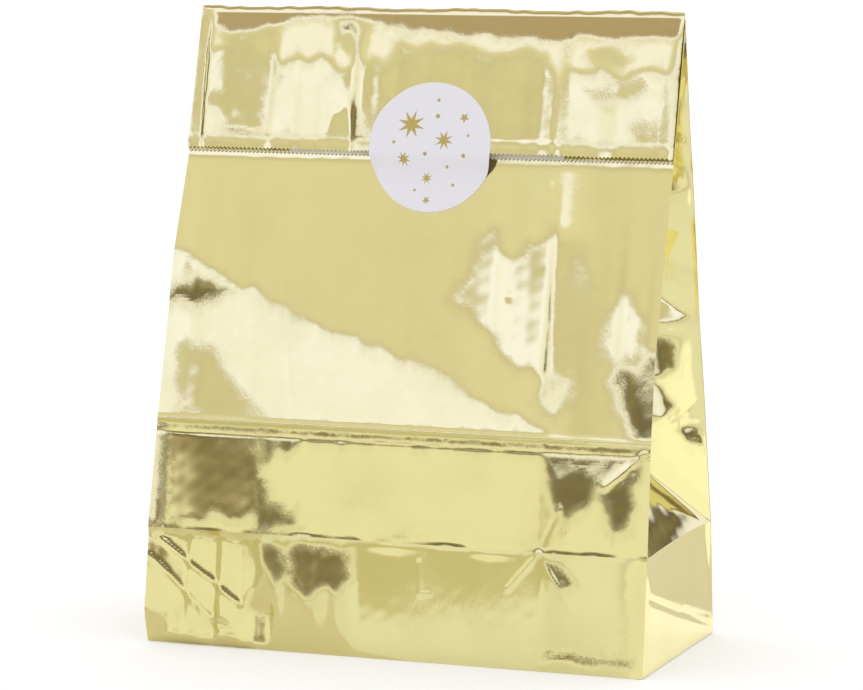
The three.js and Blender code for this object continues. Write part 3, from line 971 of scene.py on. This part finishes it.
class GIFTBAG_OT_flap_lining(bpy.types.Operator):
    """Adds the gusset's plies inside the flap"""

    bl_idname = "giftbag.flap_lining"
    bl_label = "Plies inside the flap"

    def execute(self, context):
        columns, rows = 54, 40
        # (which wall's ply, how far out of the flap's plane, how far below the ridge it starts, body)
        plies = (("front", -1.2, 4.4, "front_flap_ply"), ("back", -0.55, 2.2, "back_flap_ply"))
        for face, out, drop, body in plies:
            for side, label in SIDES:
                def place(u, v):
                    x = side * (HALF_WIDTH - 0.3 - (u if side > 0 else 1 - u) * (GUSSET - 1))
                    s = FLAP_LENGTH - 0.2 - v * (FLAP_LENGTH - 0.2 - drop)
                    s = s + (np.rint(v * rows) == 0) * zigzag(u, columns)
                    return np.column_stack([x, on_ridge_plane(s, out + 0.1 * ripple(x, s, 25, 3))])

                name = f"flap_gusset_{face}_{label}"
                ply = grid_sheet(f"{name}_paper", columns, rows, place)
                if face == "back":
                    edit_all(bpy.ops.mesh.flip_normals)
                foil_sheet(ply)
                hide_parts(name)
                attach(ply, body)
        return {"FINISHED"}


def star(points, size, notch):
    """The radius of a star at each angle, with straight sides."""
    part = math.pi / points
    run, rise = notch * math.cos(part) - 1, notch * math.sin(part)

    def radius(angle):
        t = np.abs((angle / part + 1) % 2 - 1) * part
        return size * rise / (np.cos(t) * rise - np.sin(t) * run)

    return radius


class GIFTBAG_OT_sticker(bpy.types.Operator):
    """Adds the round sticker and the plain stars and dots stamped on it"""

    bl_idname = "giftbag.sticker"
    bl_label = "Sticker"

    def execute(self, context):
        def disc(u, v):
            angle, r = -u * math.tau, v * STICKER_RADIUS
            return sticker_points(r * np.cos(angle), r * np.sin(angle))

        label = weld(grid_sheet("sticker", 120, 26, disc))
        stock = matt_paper(context.scene.gift_bag.sticker, 1500, 0.6, 0.00002)
        coated = material("Matt coated label paper, die cut", stock)
        thicken(label, coated, coated, 0.1 * MM)
        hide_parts("sticker_upper", "sticker_lower")
        # (right, up, number of rays, size): stars of eight and five rays, and dots of twelve
        motifs = [
            (-7.5, 7.5, 8, 5.2), (5.0, 2.2, 8, 3.6), (-9.5, -4.5, 8, 2.6), (11.8, 10.2, 5, 1.9),
            (-1.5, -10.5, 8, 2.2), (-0.8, -18.2, 5, 1.5), (2.0, 10.6, 12, 0.8), (-13.5, 1.2, 12, 0.6),
            (-1.6, -2.6, 12, 0.7), (12.6, -3.0, 12, 0.7), (6.2, -6.6, 12, 0.55), (1.8, 16.2, 12, 0.6),
            (13.8, 4.0, 12, 0.5), (-5.4, -14.8, 12, 0.5), (8.4, -12.6, 12, 0.6),
        ]
        notches = {8: 0.36, 5: 0.42, 12: 0.9}
        stamps = []
        for across, up, rays, size in motifs:
            radius = star(rays, size, notches[rays])

            def stamp(u, v):
                angle = -u * math.tau
                r = v * radius(angle + 0.3)
                place = sticker_points(across + r * np.cos(angle), up + r * np.sin(angle))
                place[:, 1:] += OUT * 0.04
                return place

            stamps.append(weld(grid_sheet("stamp", rays * 8, 8, stamp)))
        deselect()
        for stamp in stamps:
            stamp.select_set(True)
        context.view_layer.objects.active = stamps[0]
        bpy.ops.object.join()
        stamps[0].name = stamps[0].data.name = "sticker_stars"
        printed = material("Gold hot-stamping foil, pressed", hot_foil)
        thicken(stamps[0], printed, printed, 0.02 * MM)
        for piece in (label, stamps[0]):
            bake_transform(piece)
        return {"FINISHED"}


# The line behind the bag on the table: its direction across, and where the painted tan shade, seen only in
# the foil, starts past it.
BEHIND_WAY, BEHIND = (-1.145, 1, 0), (-0.053, -0.044)
CAMERA_LENS = 161.6
CAMERA_TURNS = (21.29, 7.83, -0.30)  # yaw, pitch and roll in degrees
CAMERA_TARGET = (0.0007, 0, 0.1035)
CAMERA_DISTANCE = 1.346


def table_paper_with_painted_reflections(tree, shader):
    """The table. It is white paper when seen straight. For mirrored rays only, its colour carries painted
    reflections:
    a painted highlight strip at the bag's right, a painted tan shade behind the bag, a darker painted shade
    at its left, and painted shade that deepens with distance."""
    place = object_place(tree)
    x, y, _ = add_node(tree, "SeparateXYZ", Vector=place).outputs
    rays = add_node(tree, "LightPath").outputs
    away = add_node(tree, "VectorMath", {"operation": "LENGTH"}, i0=place).outputs["Value"]
    slant = add_node(tree, "VectorMath", {"operation": "DOT_PRODUCT"}, i0=place,
                     i1=BEHIND_WAY).outputs["Value"]

    def past(value, start, end):
        """0 before the start and 1 past the end."""
        return map_range(tree, value, start, end, interpolation_type="SMOOTHSTEP")

    def zone(*shares):
        """Where all the shares are 1, for mirrored rays only: a mask of painted reflection."""
        whole = rays["Is Glossy Ray"]
        for share in shares:
            whole = multiply_add(tree, whole, share)
        return whole

    # painted shade: the floor's colour grows darker farther off, which mirrored rays see; camera rays get
    # more glow there, so the floor looks evenly white to the camera
    far = past(away, 0.3, 2.5)
    # painted reflections, for mirrored rays only: a tan painted shade behind the bag, a darker painted shade
    # at its left, and a painted highlight strip at its right, given as glow
    behind = zone(past(slant, *BEHIND))
    left = zone(past(x, -0.10, -0.15), past(y, 0, -0.05))
    right = zone(past(x, 0.088, 0.095), past(slant, *BEHIND[::-1]), past(y, -0.09, -0.06))
    tone = mix_colours(tree, far, (0.84, 0.84, 0.84, 1), (0.60, 0.58, 0.54, 1))
    tone = mix_colours(tree, behind, tone, (0.72, 0.67, 0.57, 1))
    tone = mix_colours(tree, left, tone, (0.54, 0.49, 0.28, 1))
    glow = multiply_add(tree, multiply_add(tree, far, 0.3, 0.1), rays["Is Camera Ray"], 0.14)
    set_inputs(shader, Base_Color=tone, Roughness=0.9, Emission_Color=(1, 1, 1, 1),
               Emission_Strength=multiply_add(tree, right, 0.3, glow))


class GIFTBAG_OT_stage(bpy.types.Operator):
    """Adds the floor, the studio's light and the camera"""

    bl_idname = "giftbag.stage"
    bl_label = "Floor, light and camera"

    def execute(self, context):
        scene = context.scene
        deselect()
        bpy.ops.mesh.primitive_plane_add(size=60)
        floor = context.object
        floor.name = "floor"
        # the floor's material paints shade and highlights that only mirrored rays see
        floor.data.materials.append(material("Matt white seamless paper", table_paper_with_painted_reflections))
        camera = bpy.data.objects.new("camera", bpy.data.cameras.new("camera"))
        scene.collection.objects.link(camera)
        camera.data.lens = CAMERA_LENS
        camera.data.sensor_width = 36
        camera.data.clip_end = 100
        yaw, pitch, roll = (math.radians(a) for a in CAMERA_TURNS)
        look = Vector((-math.sin(yaw) * math.cos(pitch), math.cos(yaw) * math.cos(pitch), -math.sin(pitch)))
        camera.location = Vector(CAMERA_TARGET) - look * CAMERA_DISTANCE
        camera.rotation_mode = "QUATERNION"
        camera.rotation_quaternion = look.to_track_quat("-Z", "Y") @ Quaternion((0, 0, 1), roll)
        scene.camera = camera
        scene.view_settings.view_transform = "Standard"
        studio_world(scene)
        return {"FINISHED"}


# The studio round the bag, by height above the horizon in degrees.
STUDIO = [
    # the pale table
    (-10, (1.0, 0.99, 0.93)), (6.4, (1.0, 0.99, 0.95)),
    # the dark rest of the room
    (7.2, (0.50, 0.42, 0.34)), (8.6, (0.27, 0.23, 0.15)), (10.6, (0.22, 0.18, 0.10)),
    (11.6, (0.06, 0.05, 0.03)),
    # a softbox
    (12.6, (1.05, 1.05, 1.25)), (18.0, (1.12, 1.16, 1.62)), (21.0, (1.22, 1.28, 2.05)),
    # a grey wall
    (22.0, (0.71, 0.67, 0.58)), (28, (0.87, 0.83, 0.77)), (36.5, (0.92, 0.89, 0.84)),
    # a second softbox
    (38, (1.12, 1.15, 1.6)), (46, (1.16, 1.2, 1.8)),
    # a tan shade, and the ceiling
    (48.5, (0.56, 0.46, 0.40)), (62, (0.48, 0.39, 0.32)), (72, (0.85, 0.84, 0.8)),
    (90, (0.95, 0.95, 0.95)),
]


def studio_world(scene):
    """Soft studio light: its mirror image is laid out by height, and its fill is an even white."""
    world = bpy.data.worlds.new("Studio")
    scene.world = world
    world.use_nodes = True
    tree = world.node_tree
    way = add_node(tree, "TexCoord").outputs["Generated"]
    rise = add_node(tree, "SeparateXYZ", Vector=way).outputs["Z"]
    level = add_node(tree, "Math", {"operation": "ARCSINE"}, i0=rise)
    lowest, highest = STUDIO[0][0], STUDIO[-1][0]
    share = map_range(tree, level.outputs[0], math.radians(lowest), math.radians(highest))
    ramp = add_node(tree, "ValToRGB", Fac=share)
    elements = ramp.color_ramp.elements
    while len(elements) < len(STUDIO):
        elements.new(0.5)
    for element, (height, colour) in zip(elements, STUDIO):
        element.position = (height - lowest) / (highest - lowest)
        element.color = (*colour, 1)
    mirrored = add_node(tree, "LightPath").outputs["Is Glossy Ray"]
    shown = mix_colours(tree, mirrored, (1, 1, 1, 1), ramp.outputs["Color"])
    set_inputs(tree.nodes["Background"], Color=shown)


PIECES = (
    GIFTBAG_OT_base, GIFTBAG_OT_bottom, GIFTBAG_OT_front, GIFTBAG_OT_back, GIFTBAG_OT_gussets,
    GIFTBAG_OT_flap_lining, GIFTBAG_OT_sticker, GIFTBAG_OT_stage,
)


class GIFTBAG_PT_panel(bpy.types.Panel):
    """Lists the bag's pieces and settings"""

    bl_idname = "GIFTBAG_PT_panel"
    bl_label = "Gift bag"
    bl_space_type = "VIEW_3D"
    bl_region_type = "UI"
    bl_category = "Gift bag"

    def draw(self, context):
        settings = context.scene.gift_bag
        for name in ("foil", "lining", "sticker", "print_foil", "ply", "pinking"):
            self.layout.prop(settings, name)
        for piece in PIECES:
            self.layout.operator(piece.bl_idname)


CLASSES = (BagSettings, *PIECES, GIFTBAG_PT_panel)


def register():
    for cls in CLASSES:
        bpy.utils.register_class(cls)
    bpy.types.Scene.gift_bag = PointerProperty(type=BagSettings)


def unregister():
    del bpy.types.Scene.gift_bag
    for cls in reversed(CLASSES):
        bpy.utils.unregister_class(cls)


def main():
    register()
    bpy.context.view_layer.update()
    bpy.ops.giftbag.base()
    bpy.ops.giftbag.bottom()
    bpy.ops.giftbag.front()
    bpy.ops.giftbag.back()
    bpy.ops.giftbag.gussets()
    bpy.ops.giftbag.flap_lining()
    bpy.ops.giftbag.sticker()
    bpy.ops.giftbag.stage()


if __name__ == "__main__":
    main()
